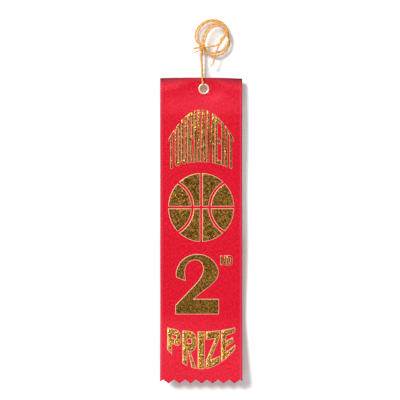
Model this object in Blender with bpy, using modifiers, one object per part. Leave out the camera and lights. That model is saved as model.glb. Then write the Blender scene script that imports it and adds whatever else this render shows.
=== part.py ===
"""Carded award ribbon hanging from a wound string, with its print as separate foil pieces.

Run it with: blender --background --python part.py
The ribbon hangs in the XZ plane with its printed face towards -Y. The origin is the
place inside the wound string where a pin or peg holds it.
"""
import math

import bpy
from mathutils import Vector
from mathutils.geometry import interpolate_bezier

# Ribbon strip: satin, folded over the top of the card
RIBBON_WIDTH = 0.0508
RIBBON_THICKNESS = 0.0003
RIBBON_DROP = 0.1886          # top of the fold down to the tips of the pinked edge
FLAP_DROP = 0.0145            # top of the fold down to the end of the flap behind
FLEX_LINE_DROP = 0.0150       # below this line the front is free to lift off the card
FLEX_GAP = 0.0003             # the head ends and the panel starts on each side of the line
PINKING_PITCH = 0.00677
PINKING_DEPTH = 0.0024
PINKING_SHIFT = 0.0002

# Card behind the ribbon
CARD_SIDE_MARGIN = 0.0016     # satin beyond the card on each side
CARD_HEIGHT = 0.0953
CARD_THICKNESS = 0.0004
LAYER_GAP = 0.0002            # between two layers that lie on each other

# Eyelet
EYELET_X = 0.0016
EYELET_DROP = 0.0070
EYELET_BORE_RADIUS = 0.00235
EYELET_WALL = 0.0003
EYELET_FLANGE_WIDTH = 0.00105 # front flange beyond the bore
EYELET_ROLL_WIDTH = 0.00095   # rolled rim behind, beyond the bore
EYELET_FLANGE_HEIGHT = 0.0005
EYELET_HOLE_CLEARANCE = 0.00015

# String
STRING_DIAMETER = 0.0012
STRING_POINT_SPACING = 0.0012
HANG_HEIGHT = 0.0300          # hanging point above the top of the fold
KNOT_CENTRE = (0.0008, 0.0, 0.0187)
KNOT_RADII = (0.0024, 0.0020, 0.0026)
COIL_CENTRE = (0.00735, 0.0, 0.02465)
COIL_OUTER_RADIUS = 0.0118
COIL_INNER_RADIUS = 0.0056
COIL_THICKNESS = 0.0048
CORD_GAP = 0.0003             # between the string's own solids

# Routes of the string, measured from the top of the fold
LOOP_ROUTE = (
    (0.0002, -0.00080, 0.0159),
    (-0.0001, -0.00110, 0.0134),
    (0.0001, -0.00150, 0.0097),
    (0.0004, -0.00190, 0.0048),
    (0.0006, -0.00225, -0.0002),
    (0.0009, -0.00245, -0.0032),
    (0.00105, -0.00195, -0.0050),
    (0.0011, 0.0, -0.0061),
    (0.00115, 0.00195, -0.0050),
    (0.0012, 0.00245, -0.0032),
    (0.0010, 0.00225, -0.0002),
    (0.0008, 0.00190, 0.0048),
    (0.0005, 0.00150, 0.0097),
    (0.0003, 0.00110, 0.0134),
    (0.0005, 0.00080, 0.0159),
)
TAIL_ROUTE = (
    (0.0080, -0.0008, 0.0124),
    (0.0078, -0.0009, 0.0103),
    (0.0072, -0.0009, 0.0084),
    (0.0061, -0.0008, 0.0069),
)
UPPER_END_ROUTE = (
    (-0.0020, -0.0006, 0.0184),
    (-0.0036, -0.0009, 0.0181),
    (-0.0051, -0.0009, 0.0178),
)
LOWER_END_ROUTE = (
    (-0.0014, -0.0004, 0.0168),
    (-0.0031, -0.0007, 0.0160),
    (-0.0048, -0.0006, 0.0153),
)

# Foil print: one block, drawn at the size below and scaled to the satin inside its margins.
# The drops are measured down from the top of the block.
FOIL_THICKNESS = 0.00012
FOIL_GAP = 0.0001             # foil to the satin behind it
PRINT_TOP_MARGIN = 0.0201     # top of the fold to the top of the print
PRINT_END_MARGIN = 0.0086     # end of the print to the tips of the pinked edge
PRINT_SIDE_MARGIN = 0.0044
PRINT_LENGTH = 0.1599
PRINT_WIDTH = 0.0420

TITLE_WORD = "TOURNAMENT"
TITLE_WIDTH = 0.0400
TITLE_DROP = 0.0
TITLE_HEIGHT = 0.0320
TITLE_TOP_SAG = 0.0180        # how far the arch's top falls from its middle to its ends
TITLE_BOTTOM_SAG = 0.0050
TITLE_LETTER_GAP = 0.00055
TITLE_STROKE = 0.00120
TITLE_BAR = 0.085             # cross strokes as a share of the letter's height

BALL_DROP = 0.0603            # centre of the ball
BALL_HALF_WIDTH = 0.0204
BALL_HALF_HEIGHT = 0.0212
BALL_SEAM = 0.0013
BALL_ARC_RADIUS = 0.0175
BALL_ARC_CENTRE = 0.0228

NUMERAL_LEFT = -0.0160
NUMERAL_DROP = 0.0891
NUMERAL_WIDTH = 0.0270
NUMERAL_HEIGHT = 0.0374
SUFFIX_LEFT = 0.0120
SUFFIX_DROP = 0.0901
SUFFIX_LETTER_WIDTH = 0.0033
SUFFIX_HEIGHT = 0.0058
SUFFIX_GAP = 0.0006
SUFFIX_STROKE = 0.00095
SUFFIX_BAR = 0.17

PRIZE_WORD = "PRIZE"
PRIZE_WIDTH = 0.0420
PRIZE_DROP = 0.1371
PRIZE_HEIGHT = 0.0228
PRIZE_TOP_SAG = -0.0025
PRIZE_BOTTOM_SAG = -0.0120
PRIZE_LETTER_GAP = 0.00075
PRIZE_STROKE = 0.0030
PRIZE_BAR = 0.22

OUTLINE_STEP = 0.0012         # longest straight stretch of a letter that is bent to an arch
ARC_STEPS = 5                 # stretches in a quarter turn of a letter

# Layers from the card's middle plane outwards
CARD_FACE = CARD_THICKNESS / 2
SATIN_INNER = CARD_FACE + LAYER_GAP
SATIN_OUTER = SATIN_INNER + RIBBON_THICKNESS
FLANGE_SEAT = SATIN_OUTER + LAYER_GAP
FOLD_CENTRE_DROP = SATIN_OUTER

CARD_WIDTH = RIBBON_WIDTH - 2 * CARD_SIDE_MARGIN
EYELET_FLANGE_RADIUS = EYELET_BORE_RADIUS + EYELET_FLANGE_WIDTH
EYELET_ROLL_RADIUS = EYELET_BORE_RADIUS + EYELET_ROLL_WIDTH
PRINT_SCALE = min(
    (RIBBON_DROP - PRINT_TOP_MARGIN - PRINT_END_MARGIN) / PRINT_LENGTH,
    (RIBBON_WIDTH - 2 * PRINT_SIDE_MARGIN) / PRINT_WIDTH)

part_collection = bpy.data.collections.new("award_ribbon")
cutter_collection = bpy.data.collections.new("cutters")


def clear_scene():
    for obj in list(bpy.data.objects):
        bpy.data.objects.remove(obj, do_unlink=True)
    for collection in (part_collection, cutter_collection):
        bpy.context.scene.collection.children.link(collection)


def level(drop):
    """World height of a place that lies below the top of the fold by drop."""
    return -HANG_HEIGHT - drop


def material(name, colour, roughness, metallic=0.0):
    made = bpy.data.materials.get(name) or bpy.data.materials.new(name)
    made.use_nodes = True
    shader = made.node_tree.nodes["Principled BSDF"]
    shader.inputs["Base Color"].default_value = (*colour, 1.0)
    shader.inputs["Roughness"].default_value = roughness
    shader.inputs["Metallic"].default_value = metallic
    return made


def satin():
    return material("red_satin", (0.80, 0.010, 0.035), 0.38)


def card_board():
    return material("white_card", (0.88, 0.87, 0.84), 0.75)


def eyelet_brass():
    return material("eyelet_brass", (0.86, 0.62, 0.36), 0.25, 1.0)


def stamped_foil():
    return material("gold_foil", (0.55, 0.40, 0.10), 0.22, 1.0)


def gold_string():
    return material("gold_string", (0.90, 0.45, 0.06), 0.70)


def add_object(name, data, finish, collection=None):
    obj = bpy.data.objects.new(name, data)
    (collection or part_collection).objects.link(obj)
    if finish:
        data.materials.append(finish)
    return obj


def flat_curve(name, outlines, thickness):
    """A filled 2D curve with one cyclic spline for each outline."""
    curve = bpy.data.curves.new(name, "CURVE")
    curve.dimensions = "2D"
    curve.fill_mode = "BOTH"
    curve.extrude = thickness / 2
    for outline in outlines:
        spline = curve.splines.new("POLY")
        spline.points.add(len(outline) - 1)
        for point, (u, v) in zip(spline.points, outline):
            point.co = (u, v, 0.0, 1.0)
        spline.use_cyclic_u = True
    return curve


def front_plate(name, outlines, thickness, middle_y, finish):
    """A plate in the XZ plane, from outlines in (x, z)."""
    obj = add_object(name, flat_curve(name, outlines, thickness), finish)
    obj.rotation_euler = (math.pi / 2, 0, 0)
    obj.location = (0, middle_y, 0)
    return obj


def as_mesh(obj):
    """Replace a curve object by a welded mesh object of the same name and place."""
    bpy.context.view_layer.update()
    evaluated = obj.evaluated_get(bpy.context.evaluated_depsgraph_get())
    mesh = bpy.data.meshes.new_from_object(evaluated)
    name = obj.name
    place = obj.matrix_world.copy()
    bpy.data.objects.remove(obj, do_unlink=True)
    solid = add_object(name, mesh, None)
    solid.name = name
    solid.matrix_world = place
    weld = solid.modifiers.new("weld", "WELD")
    weld.merge_threshold = 0.00001
    return solid


def cut(obj, cutter):
    difference = obj.modifiers.new(cutter.name, "BOOLEAN")
    difference.operation = "DIFFERENCE"
    difference.object = cutter


def as_cutter(obj):
    for collection in list(obj.users_collection):
        collection.objects.unlink(obj)
    cutter_collection.objects.link(obj)
    obj.hide_render = True
    obj.display_type = "WIRE"
    return obj


def eyelet_hole_cutter():
    radius = EYELET_BORE_RADIUS + EYELET_WALL + EYELET_HOLE_CLEARANCE
    bpy.ops.mesh.primitive_cylinder_add(
        vertices=32, radius=radius, depth=0.010,
        location=(EYELET_X, 0, level(EYELET_DROP)), rotation=(math.pi / 2, 0, 0))
    cutter = as_cutter(bpy.context.object)
    cutter.name = "eyelet_hole"
    return cutter


def arc(centre_u, centre_v, radius_u, radius_v, start, end, steps=ARC_STEPS):
    """Points of an elliptical arc between two angles in degrees."""
    points = []
    for i in range(steps + 1):
        angle = math.radians(start + (end - start) * i / steps)
        points.append((centre_u + radius_u * math.cos(angle), centre_v + radius_v * math.sin(angle)))
    return points


def ribbon_head(hole):
    """The strip's folded end: front layer, fold over the card, and flap behind it."""
    top = level(FOLD_CENTRE_DROP)
    front_end = level(FLEX_LINE_DROP) + FLEX_GAP / 2
    flap_end = level(FLAP_DROP)
    outline = [(-SATIN_INNER, front_end), (-SATIN_OUTER, front_end)]
    outline += arc(0, top, SATIN_OUTER, SATIN_OUTER, 180, 0, 12)
    outline += [(SATIN_OUTER, flap_end), (SATIN_INNER, flap_end)]
    outline += arc(0, top, SATIN_INNER, SATIN_INNER, 0, 180, 12)
    strip = add_object("ribbon_head", flat_curve("ribbon_head", [outline], RIBBON_WIDTH), satin())
    strip.rotation_euler = (math.pi / 2, 0, math.pi / 2)
    cut(as_mesh(strip), hole)


def pinking_drop(x):
    """Depth of the zigzag edge at x, from 0 at a tip to PINKING_DEPTH at a notch."""
    phase = ((x - PINKING_SHIFT) / PINKING_PITCH) % 1.0
    return PINKING_DEPTH * (1 - abs(1 - 2 * phase))


def ribbon_panel():
    """The free front of the strip, down to its pinked end."""
    half = RIBBON_WIDTH / 2
    top = level(FLEX_LINE_DROP) - FLEX_GAP / 2
    half_pitch = PINKING_PITCH / 2
    first = math.ceil((-half - PINKING_SHIFT) / half_pitch)
    last = math.floor((half - PINKING_SHIFT) / half_pitch)
    turns = [PINKING_SHIFT + i * half_pitch for i in range(first, last + 1)]
    inside = [x for x in turns if abs(x) < half - 0.0001]
    bottom = [(x, level(RIBBON_DROP) + pinking_drop(x)) for x in [-half, *inside, half]]
    outline = [(half, top), (-half, top), *bottom]
    middle = -(SATIN_INNER + SATIN_OUTER) / 2
    front_plate("ribbon_panel", [outline], RIBBON_THICKNESS, middle, satin())


def event_card(hole):
    """Stiff card inside the fold, which the eyelet bites into."""
    height_middle = level(FOLD_CENTRE_DROP) - CARD_HEIGHT / 2
    bpy.ops.mesh.primitive_cube_add(size=1, location=(0, 0, height_middle))
    card = bpy.context.object
    card.name = "event_card"
    card.scale = (CARD_WIDTH, CARD_THICKNESS, CARD_HEIGHT)
    for collection in list(card.users_collection):
        collection.objects.unlink(card)
    part_collection.objects.link(card)
    card.data.materials.append(card_board())
    cut(card, hole)


def eyelet():
    """Set metal eyelet, turned about its own axis, front flange on the satin."""
    bore = EYELET_BORE_RADIUS
    flange = EYELET_FLANGE_RADIUS
    roll = EYELET_ROLL_RADIUS
    rise = EYELET_FLANGE_HEIGHT
    edge = rise / 4
    seat = FLANGE_SEAT
    profile = [
        (bore, seat + rise * 0.4), (bore + edge, seat + rise * 0.9), (bore + 2 * edge, seat + rise),
        (flange - 2 * edge, seat + rise * 0.9), (flange - edge / 2, seat + rise / 2), (flange, seat),
        (bore + EYELET_WALL, seat), (bore + EYELET_WALL, -seat),
        (roll, -seat), (roll - edge / 2, -seat - rise / 2), (roll - 2 * edge, -seat - rise),
        (bore + 2 * edge, -seat - rise), (bore, -seat - rise * 0.4),
    ]
    mesh = bpy.data.meshes.new("eyelet")
    points = [(radius, 0, height) for radius, height in profile]
    edges = [(i, (i + 1) % len(points)) for i in range(len(points))]
    mesh.from_pydata(points, edges, [])
    ring = add_object("eyelet", mesh, eyelet_brass())
    screw = ring.modifiers.new("turn", "SCREW")
    screw.steps = 40
    screw.render_steps = 40
    screw.use_merge_vertices = True
    screw.merge_threshold = 0.00001
    ring.rotation_euler = (math.pi / 2, 0, 0)
    ring.location = (EYELET_X, 0, level(EYELET_DROP))


def smooth_route(route, spacing):
    """Points about one spacing apart on a smooth curve through the route's points."""
    knots = [Vector((x, y, z - HANG_HEIGHT)) for x, y, z in route]
    padded = [2 * knots[0] - knots[1], *knots, 2 * knots[-1] - knots[-2]]
    points = [knots[0]]
    for before, start, end, after in zip(padded, padded[1:], padded[2:], padded[3:]):
        steps = max(1, round((end - start).length / spacing))
        handle_out = start + (end - before) / 6
        handle_in = end - (after - start) / 6
        points += interpolate_bezier(start, handle_out, handle_in, end, steps + 1)[1:]
    return points


def string_tube(name, route):
    points = smooth_route(route, STRING_POINT_SPACING)
    curve = bpy.data.curves.new(name, "CURVE")
    curve.dimensions = "3D"
    curve.bevel_depth = STRING_DIAMETER / 2
    curve.bevel_resolution = 2
    curve.use_fill_caps = True
    spline = curve.splines.new("POLY")
    spline.points.add(len(points) - 1)
    for spline_point, point in zip(spline.points, points):
        spline_point.co = (*point, 1.0)
    add_object(name, curve, gold_string())


def cord_knot():
    """The knot that ties both leads, as its outer shape."""
    x, y, z = KNOT_CENTRE
    bpy.ops.mesh.primitive_uv_sphere_add(
        segments=20, ring_count=12, radius=1, location=(x, y, z - HANG_HEIGHT))
    knot = bpy.context.object
    knot.name = "cord_knot"
    knot.scale = KNOT_RADII
    for collection in list(knot.users_collection):
        collection.objects.unlink(knot)
    part_collection.objects.link(knot)
    knot.data.materials.append(gold_string())


def cord_coil():
    """Outer shape of the wound string: a turned ring, open where the knot sits."""
    x, y, z = COIL_CENTRE
    half = COIL_THICKNESS / 2
    middle = (COIL_INNER_RADIUS + COIL_OUTER_RADIUS) / 2
    radial = (COIL_OUTER_RADIUS - COIL_INNER_RADIUS) / 2
    profile = [(middle + u, v) for u, v in arc(0, 0, radial, half, 90, -240, 11)]
    mesh = bpy.data.meshes.new("cord_coil")
    points = [(radius, 0, height) for radius, height in profile]
    edges = [(i, (i + 1) % len(points)) for i in range(len(points))]
    mesh.from_pydata(points, edges, [])
    ring = add_object("cord_coil", mesh, gold_string())
    screw = ring.modifiers.new("turn", "SCREW")
    screw.steps = 48
    screw.render_steps = 48
    screw.use_merge_vertices = True
    screw.merge_threshold = 0.00001
    ring.rotation_euler = (math.pi / 2, 0, 0)
    ring.location = (x, y, z - HANG_HEIGHT)

    towards_knot = Vector(KNOT_CENTRE) - Vector(COIL_CENTRE)
    reach = COIL_OUTER_RADIUS - COIL_INNER_RADIUS
    width = 2 * (max(KNOT_RADII) + CORD_GAP)
    cutter_middle = Vector(COIL_CENTRE) + towards_knot.normalized() * middle
    bpy.ops.mesh.primitive_cube_add(size=1)
    cutter = as_cutter(bpy.context.object)
    cutter.name = "knot_room"
    cutter.scale = (reach * 1.5, COIL_THICKNESS * 2, width)
    cutter.rotation_euler = (0, math.atan2(-towards_knot.z, towards_knot.x), 0)
    cutter.location = cutter_middle - Vector((0, 0, HANG_HEIGHT))
    cut(ring, cutter)


def rounded_box(left, bottom, right, top, radius_u, radius_v):
    return (
        arc(right - radius_u, top - radius_v, radius_u, radius_v, 90, 0)
        + arc(right - radius_u, bottom + radius_v, radius_u, radius_v, 0, -90)
        + arc(left + radius_u, bottom + radius_v, radius_u, radius_v, -90, -180)
        + arc(left + radius_u, top - radius_v, radius_u, radius_v, 180, 90)
    )


def letter_outlines(letter, stroke, bar):
    """Outer outline and counters of a block letter in a cell one unit wide and high."""
    low, high = bar, 1 - bar
    inner, outer = stroke, 1 - stroke
    round_u = 0.42
    round_v = min(0.24, 1.6 * bar)
    hole_u = max(0.04, round_u - stroke)
    hole_v = round_v * 0.5
    if letter == "T":
        left, right = 0.5 - stroke / 2, 0.5 + stroke / 2
        return [[(0, 1), (1, 1), (1, high), (right, high), (right, 0), (left, 0), (left, high), (0, high)]]
    if letter == "I":
        return [[(0, 1), (1, 1), (1, 0), (0, 0)]]
    if letter == "E":
        upper, lower = 0.5 + bar / 2, 0.5 - bar / 2
        return [[(0, 1), (1, 1), (1, high), (inner, high), (inner, upper), (0.85, upper),
                 (0.85, lower), (inner, lower), (inner, low), (1, low), (1, 0), (0, 0)]]
    if letter == "N":
        return [[(0, 1), (inner, 1), (outer, 0.36), (outer, 1), (1, 1), (1, 0), (outer, 0),
                 (inner, 0.64), (inner, 0), (0, 0)]]
    if letter == "M":
        return [[(0, 1), (inner, 1), (0.5, 0.42), (outer, 1), (1, 1), (1, 0), (outer, 0),
                 (outer, 0.62), (0.5, 0.10), (inner, 0.62), (inner, 0), (0, 0)]]
    if letter == "Z":
        return [[(0, 1), (1, 1), (1, high), (inner, low), (1, low), (1, 0), (0, 0), (0, low),
                 (outer, high), (0, high)]]
    if letter == "A":
        apex = 0.6 * stroke
        lean = 0.5 - apex
        rung = 0.20

        def leg(height):
            return stroke + lean * height

        peak = (0.5 - stroke) / lean
        body = [(0, 0), (lean, 1), (1 - lean, 1), (1, 0), (outer, 0), (1 - leg(rung), rung),
                (leg(rung), rung), (stroke, 0)]
        counter = [(leg(rung + bar), rung + bar), (0.5, peak), (1 - leg(rung + bar), rung + bar)]
        return [body, counter]
    if letter == "O":
        return [rounded_box(0, 0, 1, 1, round_u, round_v),
                rounded_box(inner, low, outer, high, hole_u, hole_v)]
    if letter == "U":
        body = [(0, 1), (inner, 1)]
        body += arc(inner + hole_u, low + hole_v, hole_u, hole_v, 180, 270)
        body += arc(outer - hole_u, low + hole_v, hole_u, hole_v, -90, 0)
        body += [(outer, 1), (1, 1)]
        body += arc(1 - round_u, round_v, round_u, round_v, 0, -90)
        body += arc(round_u, round_v, round_u, round_v, -90, -180)
        return [body]
    if letter == "D":
        body = [(0, 0), (0, 1)]
        body += arc(1 - round_u, 1 - round_v, round_u, round_v, 90, 0)
        body += arc(1 - round_u, round_v, round_u, round_v, 0, -90)
        return [body, rounded_box(inner, low, outer, high, hole_u / 2, hole_v)]
    waist = 0.44
    bowl = arc(1 - round_u, 1 - round_v, round_u, round_v, 90, 0)
    bowl += arc(1 - round_u, waist + round_v, round_u, round_v, 0, -90)
    counter = rounded_box(inner, waist + bar, outer, high, hole_u / 2, hole_v / 2)
    if letter == "P":
        return [[(0, 0), (0, 1), *bowl, (inner, waist), (inner, 0)], counter]
    if letter == "R":
        shin = inner + (outer - inner) * 0.15
        return [[(0, 0), (0, 1), *bowl, (1, 0), (outer, 0), (shin, waist), (inner, waist), (inner, 0)],
                counter]
    raise ValueError(f"no outline for the letter {letter}")


def relative_width(letter):
    return {"I": 0.5, "M": 1.35}.get(letter, 1.0)


def split_long_edges(outline, cell_width):
    """Add points along an outline so that it can follow a bent line."""
    points = []
    for (u0, v0), (u1, v1) in zip(outline, outline[1:] + outline[:1]):
        steps = max(1, math.ceil(abs(u1 - u0) * cell_width / OUTLINE_STEP))
        points += [(u0 + (u1 - u0) * i / steps, v0 + (v1 - v0) * i / steps) for i in range(steps)]
    return points


def foil_plate(name, outlines):
    """A foil piece from outlines in (x, drop), both in the print block at its drawn size."""
    middle = -(SATIN_OUTER + FOIL_GAP + FOIL_THICKNESS / 2)
    placed = [[(x * PRINT_SCALE, level(PRINT_TOP_MARGIN + drop * PRINT_SCALE)) for x, drop in outline]
              for outline in outlines]
    front_plate(name, placed, FOIL_THICKNESS, middle, stamped_foil())


def arched_word(prefix, word, width, drop, height, top_sag, bottom_sag, gap, stroke, bar):
    """Letters that fill the band between two parabolas, each letter its own foil piece."""
    total = sum(relative_width(letter) for letter in word)
    unit = (width - gap * (len(word) - 1)) / total
    left = -width / 2

    def place(x, share):
        spread = (x / (width / 2)) ** 2
        top = drop + top_sag * spread
        bottom = drop + height + bottom_sag * spread
        return x, bottom + (top - bottom) * share

    for number, letter in enumerate(word, start=1):
        cell = unit * relative_width(letter)
        outlines = []
        for outline in letter_outlines(letter, stroke / cell, bar):
            split = split_long_edges(outline, cell)
            outlines.append([place(left + u * cell, v) for u, v in split])
        foil_plate(f"{prefix}_{number:02d}", outlines)
        left += cell + gap


def meeting_angle(radius):
    """Angle on a side arc of the ball, seen from the arc's centre, where it meets the rim."""
    inside, outside = math.pi, math.pi / 2
    for _ in range(50):
        angle = (inside + outside) / 2
        x = BALL_ARC_CENTRE + radius * math.cos(angle)
        z = radius * math.sin(angle)
        if (x / BALL_HALF_WIDTH) ** 2 + (z / BALL_HALF_HEIGHT) ** 2 < 1:
            inside = angle
        else:
            outside = angle
    return (inside + outside) / 2


def ball_quarter():
    """Inner and outer piece of the upper right quarter of the ball, as (x, z) outlines."""
    half_seam = BALL_SEAM / 2

    def side_arc(radius):
        start = math.pi - math.asin(half_seam / radius)
        end = meeting_angle(radius)
        angles = [start + (end - start) * i / 12 for i in range(13)]
        return [(BALL_ARC_CENTRE + radius * math.cos(a), radius * math.sin(a)) for a in angles]

    def rim(start, end):
        angles = [start + (end - start) * i / 10 for i in range(11)]
        return [(BALL_HALF_WIDTH * math.cos(a), BALL_HALF_HEIGHT * math.sin(a)) for a in angles]

    near = side_arc(BALL_ARC_RADIUS + half_seam)
    far = side_arc(BALL_ARC_RADIUS - half_seam)
    near_rim = math.atan2(near[-1][1] / BALL_HALF_HEIGHT, near[-1][0] / BALL_HALF_WIDTH)
    far_rim = math.atan2(far[-1][1] / BALL_HALF_HEIGHT, far[-1][0] / BALL_HALF_WIDTH)
    top_angle = math.acos(half_seam / BALL_HALF_WIDTH)
    side_angle = math.asin(half_seam / BALL_HALF_HEIGHT)
    inner_piece = [(half_seam, half_seam), *near, *rim(near_rim, top_angle)[1:]]
    outer_piece = [*far, *rim(far_rim, side_angle)[1:]]
    return inner_piece, outer_piece


def ball_foils():
    quarter = dict(zip(("inner", "outer"), ball_quarter()))
    for up, across in (("upper", 1), ("lower", -1)):
        for side, along in (("left", -1), ("right", 1)):
            for piece, outline in quarter.items():
                placed = [(along * x, BALL_DROP - across * z) for x, z in outline]
                foil_plate(f"foil_ball_{piece}_{up}_{side}", [placed])


def bend(start, handle_out, handle_in, end, steps=10):
    """Points of a curved stretch, its first point left out."""
    knots = [Vector((*point, 0)) for point in (start, handle_out, handle_in, end)]
    return [(point.x, point.y) for point in interpolate_bezier(*knots, steps + 1)[1:]]


def numeral_foil():
    """A heavy figure two, drawn in a cell one unit wide and high."""
    outline = arc(0.507, 0.66, 0.493, 0.34, 188, 8, 20)
    outline += bend(outline[-1], (1.01, 0.53), (0.68, 0.43), (0.43, 0.255))
    outline += [(1, 0.255), (1, 0), (0, 0), (0, 0.15), (0.40, 0.45)]
    outline += bend((0.40, 0.45), (0.53, 0.55), (0.64, 0.65), (0.64, 0.755))
    outline += bend((0.64, 0.755), (0.64, 0.845), (0.56, 0.90), (0.452, 0.90), 6)
    outline += bend((0.452, 0.90), (0.31, 0.90), (0.215, 0.81), (0.215, 0.69), 6)
    outline += [(0.24, 0.55)]
    bottom = NUMERAL_DROP + NUMERAL_HEIGHT
    placed = [(NUMERAL_LEFT + u * NUMERAL_WIDTH, bottom - v * NUMERAL_HEIGHT) for u, v in outline]
    foil_plate("foil_numeral_two", [placed])


def suffix_foils():
    bottom = SUFFIX_DROP + SUFFIX_HEIGHT
    left = SUFFIX_LEFT
    for letter in "ND":
        outlines = []
        for outline in letter_outlines(letter, SUFFIX_STROKE / SUFFIX_LETTER_WIDTH, SUFFIX_BAR):
            outlines.append([(left + u * SUFFIX_LETTER_WIDTH, bottom - v * SUFFIX_HEIGHT)
                             for u, v in outline])
        foil_plate(f"foil_suffix_{letter.lower()}", outlines)
        left += SUFFIX_LETTER_WIDTH + SUFFIX_GAP


clear_scene()
eyelet_hole = eyelet_hole_cutter()
event_card(eyelet_hole)
ribbon_head(eyelet_hole)
ribbon_panel()
eyelet()
string_tube("cord_loop", LOOP_ROUTE)
cord_knot()
cord_coil()
string_tube("cord_tail", TAIL_ROUTE)
string_tube("cord_short_end_upper", UPPER_END_ROUTE)
string_tube("cord_short_end_lower", LOWER_END_ROUTE)
arched_word("foil_title_letter", TITLE_WORD, TITLE_WIDTH, TITLE_DROP, TITLE_HEIGHT,
            TITLE_TOP_SAG, TITLE_BOTTOM_SAG, TITLE_LETTER_GAP, TITLE_STROKE, TITLE_BAR)
ball_foils()
numeral_foil()
suffix_foils()
arched_word("foil_prize_letter", PRIZE_WORD, PRIZE_WIDTH, PRIZE_DROP, PRIZE_HEIGHT,
            PRIZE_TOP_SAG, PRIZE_BOTTOM_SAG, PRIZE_LETTER_GAP, PRIZE_STROKE, PRIZE_BAR)
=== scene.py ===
"""Looks of the carded award ribbon: satin strip, stamped foil, card, eyelet and wound string.

Lengths are in metres. The ribbon hangs in the XZ plane with its printed face towards -Y.
"""

import math

import bmesh
import bpy
from mathutils import Matrix, Vector
from mathutils.geometry import interpolate_bezier


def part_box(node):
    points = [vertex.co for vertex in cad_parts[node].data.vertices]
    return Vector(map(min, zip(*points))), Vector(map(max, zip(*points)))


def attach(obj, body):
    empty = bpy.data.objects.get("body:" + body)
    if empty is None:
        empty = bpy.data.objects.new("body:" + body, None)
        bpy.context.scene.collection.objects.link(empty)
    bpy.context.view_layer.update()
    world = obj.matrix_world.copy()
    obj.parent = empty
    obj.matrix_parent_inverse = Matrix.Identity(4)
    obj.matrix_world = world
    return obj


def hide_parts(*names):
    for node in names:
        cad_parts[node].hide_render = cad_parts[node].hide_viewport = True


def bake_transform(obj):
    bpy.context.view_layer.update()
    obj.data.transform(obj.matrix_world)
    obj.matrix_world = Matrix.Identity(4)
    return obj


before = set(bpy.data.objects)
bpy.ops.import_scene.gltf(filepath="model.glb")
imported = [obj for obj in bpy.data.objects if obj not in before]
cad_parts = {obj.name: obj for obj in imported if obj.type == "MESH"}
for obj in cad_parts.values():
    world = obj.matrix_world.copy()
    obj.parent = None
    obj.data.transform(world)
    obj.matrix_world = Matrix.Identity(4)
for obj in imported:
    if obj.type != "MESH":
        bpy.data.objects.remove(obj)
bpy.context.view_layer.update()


# ---------------------------------------------------------------------------
# Studio: a plain white wall close behind the hanging ribbon and a white floor,
# one large soft key light from the upper left, a softbox above the camera with a
# dark flag below it, and a fill from behind. None of it belongs to the ribbon.

VIEW_CENTRE = (-0.00074, 0.0, -0.1058)
CAMERA_DISTANCE = 0.929
CAMERA_LENS = 135.0
CAMERA_SENSOR = 36.0
WALL_GAP = 0.0050             # from the ribbon's middle plane to the wall
FLOOR_LEVEL = -0.27
STUDIO_SIZE = 12.0

KEY_DIRECTION = (0.60, 1.0, -0.55)
KEY_STRENGTH = 2.90
KEY_ANGLE = 17.0              # degrees, for shadows with a soft edge
SOFTBOX_PLACE = (0.0, -1.40, 0.39)
SOFTBOX_SIZE = (1.6, 0.42)
SOFTBOX_POWER = 4.8
REAR_PLACE = (0.5, 1.4, 0.7)
REAR_SIZE = (1.4, 1.0)
REAR_POWER = 9.0
FLAG_PLACE = (0.0, -1.42, -0.38)
FLAG_SIZE = (1.7, 0.75)


def srgb(code):
    """Linear colour, with alpha, from an sRGB hex code such as #C8102E."""
    channels = [int(code[i:i + 2], 16) / 255 for i in (1, 3, 5)]
    linear = [c / 12.92 if c <= 0.04045 else ((c + 0.055) / 1.055) ** 2.4 for c in channels]
    return (*linear, 1.0)


def add_node(tree, kind, inputs=(), **settings):
    """Add a shader node. inputs maps an input's name or number to a value or to a socket."""
    made = tree.nodes.new(kind)
    for name, value in settings.items():
        setattr(made, name, value)
    for name, value in dict(inputs).items():
        if isinstance(value, bpy.types.NodeSocket):
            tree.links.new(value, made.inputs[name])
        else:
            made.inputs[name].default_value = value
    return made


def new_material(name):
    """Add a material with an empty node tree."""
    made = bpy.data.materials.new(name)
    made.use_nodes = True
    made.node_tree.nodes.clear()
    return made


def new_object(name, bm, *finishes):
    """Turn a finished bmesh into an object at the origin, smooth shaded."""
    mesh = bpy.data.meshes.new(name)
    bm.to_mesh(mesh)
    bm.free()
    for finish in finishes:
        mesh.materials.append(finish)
    mesh.shade_smooth()
    obj = bpy.data.objects.new(name, mesh)
    bpy.context.scene.collection.objects.link(obj)
    return obj


def studio_plane(name, finish, place, size, turn=None):
    """Add a flat rectangle that stages the shot, lying flat unless it is turned."""
    bm = bmesh.new()
    bmesh.ops.create_grid(bm, x_segments=1, y_segments=1, size=0.5)
    bmesh.ops.scale(bm, vec=(size[0], size[1], 1), verts=bm.verts)
    if turn:
        bmesh.ops.rotate(bm, matrix=turn, verts=bm.verts)
    bmesh.ops.translate(bm, vec=place, verts=bm.verts)
    plane = new_object(name, bm, finish)
    return plane


def area_light(name, place, size, power):
    """Add a rectangular light that looks at the middle of the view."""
    lamp = bpy.data.lights.new(name, "AREA")
    lamp.shape = "RECTANGLE"
    lamp.size = size[0]
    lamp.size_y = size[1]
    lamp.energy = power
    light = bpy.data.objects.new(name, lamp)
    light.location = place
    aim = Vector(VIEW_CENTRE) - Vector(place)
    light.rotation_euler = aim.to_track_quat("-Z", "Y").to_euler()
    bpy.context.scene.collection.objects.link(light)
    return light


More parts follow.
